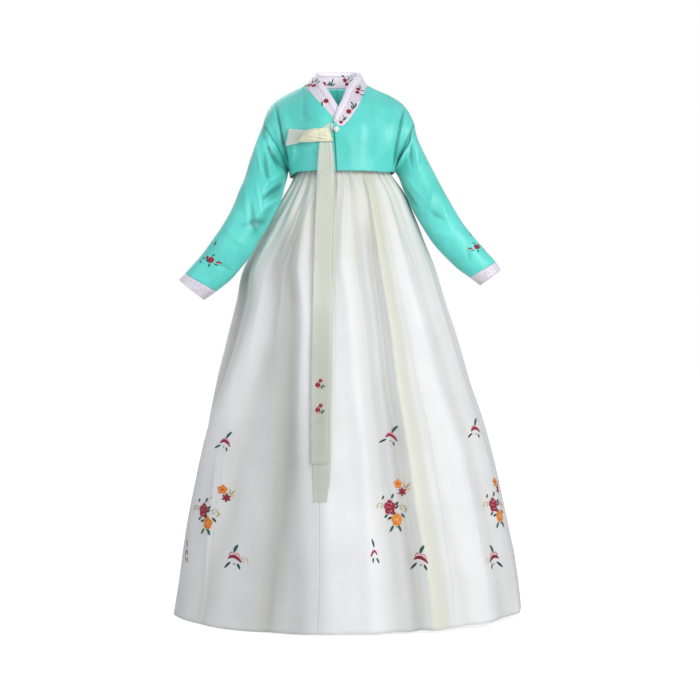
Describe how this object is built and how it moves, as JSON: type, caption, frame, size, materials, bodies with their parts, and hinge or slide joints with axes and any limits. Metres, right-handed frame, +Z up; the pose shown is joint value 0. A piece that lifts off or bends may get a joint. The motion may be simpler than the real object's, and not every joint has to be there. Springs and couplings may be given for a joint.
{
  "type": "korean hanbok",
  "caption": "Women's hanbok filled out as worn: cropped long-sleeved jacket with a crossed collar and a half-bow tie over a full-length gathered skirt.",
  "frame": {"origin": "point between the shoulders at the base of the neck, on the shoulder line, where the wearer carries the garment", "axes": "+Z up, +X towards the wearer's left arm, the front of the garment faces -Y"},
  "size_m": [0.8997, 0.7642, 1.4099],
  "materials": {
    "turquoise_satin": "satin weave",
    "embroidered_satin": "satin weave",
    "white_edging": "smooth",
    "ivory_ribbon": "sheer ribbon",
    "organza": "sheer crisp weave",
    "lining": "plain weave"
  },
  "bodies": {
    "root": {"back_left": "turquoise_satin", "back_right": "turquoise_satin", "collar": "embroidered_satin", "collar_edge": "white_edging", "cuff_left": "embroidered_satin", "cuff_right": "embroidered_satin", "front_left": "turquoise_satin", "front_right": "turquoise_satin", "goreum_knot": "ivory_ribbon", "goreum_loop": "ivory_ribbon", "goreum_rosette": "embroidered_satin", "goreum_strap": "ivory_ribbon", "goreum_tail_back": "ivory_ribbon", "goreum_tail_front": "ivory_ribbon", "goreum_wrap": "ivory_ribbon", "skirt_band": "lining", "skirt_lining": "lining", "skirt_panel_1": "organza", "skirt_panel_2": "organza", "skirt_panel_3": "organza", "skirt_panel_4": "organza", "skirt_panel_5": "organza", "skirt_panel_6": "organza", "skirt_panel_7": "organza", "skirt_panel_8": "organza", "sleeve_left": "turquoise_satin", "sleeve_right": "turquoise_satin"}
  },
  "joints": []
}
